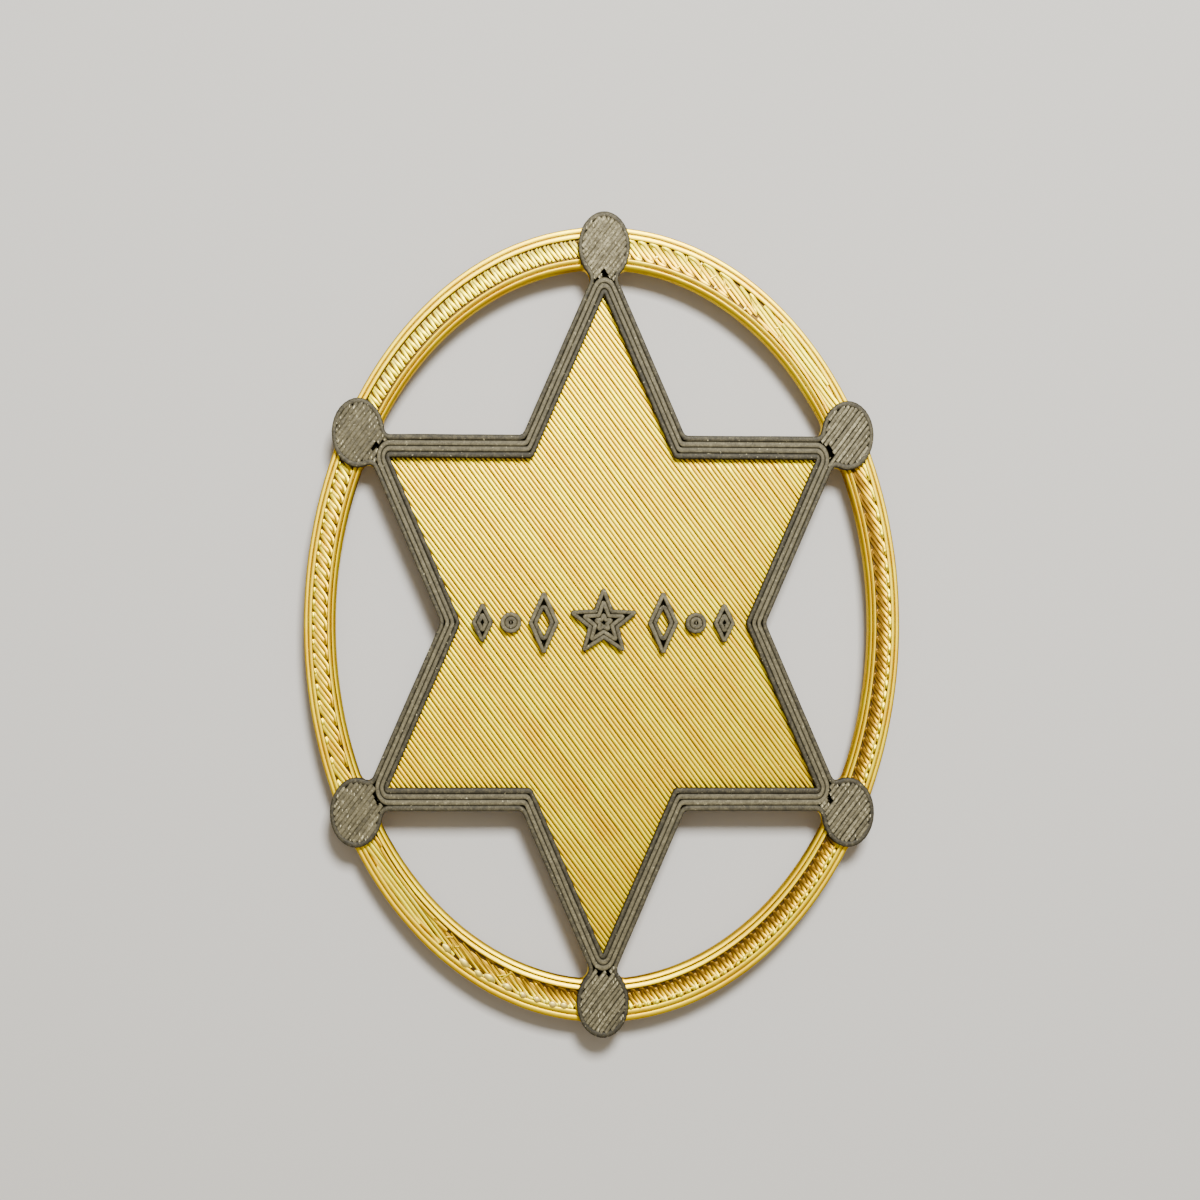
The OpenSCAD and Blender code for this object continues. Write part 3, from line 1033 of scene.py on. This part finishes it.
def lozenge(size):
    wide, tall = size[0] / 2, size[1] / 2
    return [complex(wide, 0), complex(0, tall), complex(-wide, 0), complex(0, -tall)]


def innerHole(size, stroke):
    slope = math.atan2(size[1], size[0])
    return size[0] - 2 * stroke / math.sin(slope), size[1] - 2 * stroke / math.cos(slope)


def printOrnament(node, corners, hole=None, insets=(0.5, 1.5), dot=False):
    low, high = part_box(node)
    centre = (low.x + high.x) / 2 / mm
    r = ornament["cornerRadius"]
    loops = [roundCorners(insetCorners(corners, inset * bead), r) for inset in insets]
    coreLoops = [roundCorners(insetCorners(corners, coreInset), r)]
    if hole:
        loops[1:] = [roundCorners(insetCorners(hole, -bead / 2), bead / 2)]
        coreLoops.append(insetCorners(hole, -coreInset))
    paths = [line([p + centre for p in loop], reliefTop) for loop in loops]
    if dot:
        paths.append(line([centre - 0.05, centre + 0.05], reliefTop, False, ornament["dotSize"]))
    core = coreObject(node + "_core", [([[p + centre for p in c] for c in coreLoops],
                                        charcoalPrint["low"], reliefCoreTop)])
    options = dict(reliefOptions, Stretch=1.0, Layers=charcoalPrint["layers"], Seed=20.0 + centre)
    return printPiece("printed_" + node, paths, matteCharcoal, options, core)


starCorners = [polar(ornament["starRadius"] * (1 if i % 2 == 0 else ornament["notchShare"]), 90 + 36 * i)
               for i in range(10)]
outer = lozenge(ornament["outerLozenge"])
inner = lozenge(ornament["innerLozenge"])
innerOpen = lozenge(innerHole(ornament["innerLozenge"], ornament["stroke"]))
disc = circle(ornament["discRadius"], 0.3)
row = {"centre_star": printOrnament("centre_star", starCorners, insets=(0.5, 1.5, 2.5))}
for side in ("left", "right"):
    row["inner_lozenge_" + side] = printOrnament("inner_lozenge_" + side, inner, innerOpen)
    row["outer_lozenge_" + side] = printOrnament("outer_lozenge_" + side, outer)
    row["disc_" + side] = printOrnament("disc_" + side, disc, dot=True)

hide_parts("gold_base")
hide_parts("star_border")
for node, piece in row.items():
    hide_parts(node)
for piece in (goldPlate, goldRing, goldTrough, goldField, goldUnder):
    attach(piece, "root")
for piece in [borderPlate, borderTop, ballFill] + list(row.values()):
    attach(piece, "root")

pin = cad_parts["pin_back"]
pin.data.materials.clear()
pin.data.materials.append(nickelSteel)

# Pale paper, pressed smooth: it scatters the light evenly and has hardly any gloss
paper = {"colour": "#D8D6D0", "roughness": 0.9, "reach": 2.0}  # reach in metres, to each side
floorMesh = bpy.data.meshes.new("floor")
sides = ((-1, -1), (1, -1), (1, 1), (-1, 1))
floorMesh.from_pydata([(x * paper["reach"], y * paper["reach"], 0) for x, y in sides], [], [(0, 1, 2, 3)])
floor = bpy.data.objects.new("floor", floorMesh)
bpy.context.scene.collection.objects.link(floor)
floorMaterial, tree, shader = newMaterial("pale paper")
shader.inputs["Base Color"].default_value = linear(paper["colour"])
shader.inputs["Roughness"].default_value = paper["roughness"]
floorMesh.materials.append(floorMaterial)

# A lamp and a softbox above the badge's top and slightly right, in metres and watts, and a soft room
studio = {
    "lamp": {"size": 0.1, "power": 3.3, "away": 0.45, "elevation": 64, "turn": 14},
    "softbox": {"size": 0.6, "power": 0.7, "away": 0.7, "elevation": 80, "turn": 14},
}
room = {"colour": "#F8E6C8", "strength": 0.3}


def addLamp(name, size, power, away, elevation, turn):
    data = bpy.data.lights.new(name, "AREA")
    data.size = size
    data.energy = power
    lamp = bpy.data.objects.new(name, data)
    flat = math.cos(math.radians(elevation)) * away
    lamp.location = (flat * math.sin(math.radians(turn)), flat * math.cos(math.radians(turn)),
                     math.sin(math.radians(elevation)) * away)
    lamp.rotation_euler = (-lamp.location).to_track_quat("-Z", "Y").to_euler()
    bpy.context.scene.collection.objects.link(lamp)


for name, lamp in studio.items():
    addLamp(name, **lamp)
world = bpy.data.worlds.new("room")
bpy.context.scene.world = world
world.use_nodes = True
background = world.node_tree.nodes["Background"]
background.inputs["Color"].default_value = linear(room["colour"])
background.inputs["Strength"].default_value = room["strength"]
print("floor and lamps made")

# The photo was taken from almost straight above, a little tilted. In mm and degrees
view = {"x": -0.338, "y": 2.38, "away": 249.5, "tiltX": -1.477, "tiltY": 2.615, "roll": -0.178,
        "lens": 72, "sensor": 36}
turned = Matrix.Identity(3)
for angle, axis in (("tiltX", "X"), ("tiltY", "Y"), ("roll", "Z")):
    turned = turned @ Matrix.Rotation(-math.radians(view[angle]), 3, axis)
cameraData = bpy.data.cameras.new("camera")
cameraData.lens = view["lens"]
cameraData.sensor_width = view["sensor"]
camera = bpy.data.objects.new("camera", cameraData)
camera.location = Vector((0, 0, goldHigh.z)) + turned @ Vector((view["x"], view["y"], view["away"])) * mm
camera.rotation_euler = turned.to_euler()
bpy.context.scene.collection.objects.link(camera)
bpy.context.scene.camera = camera
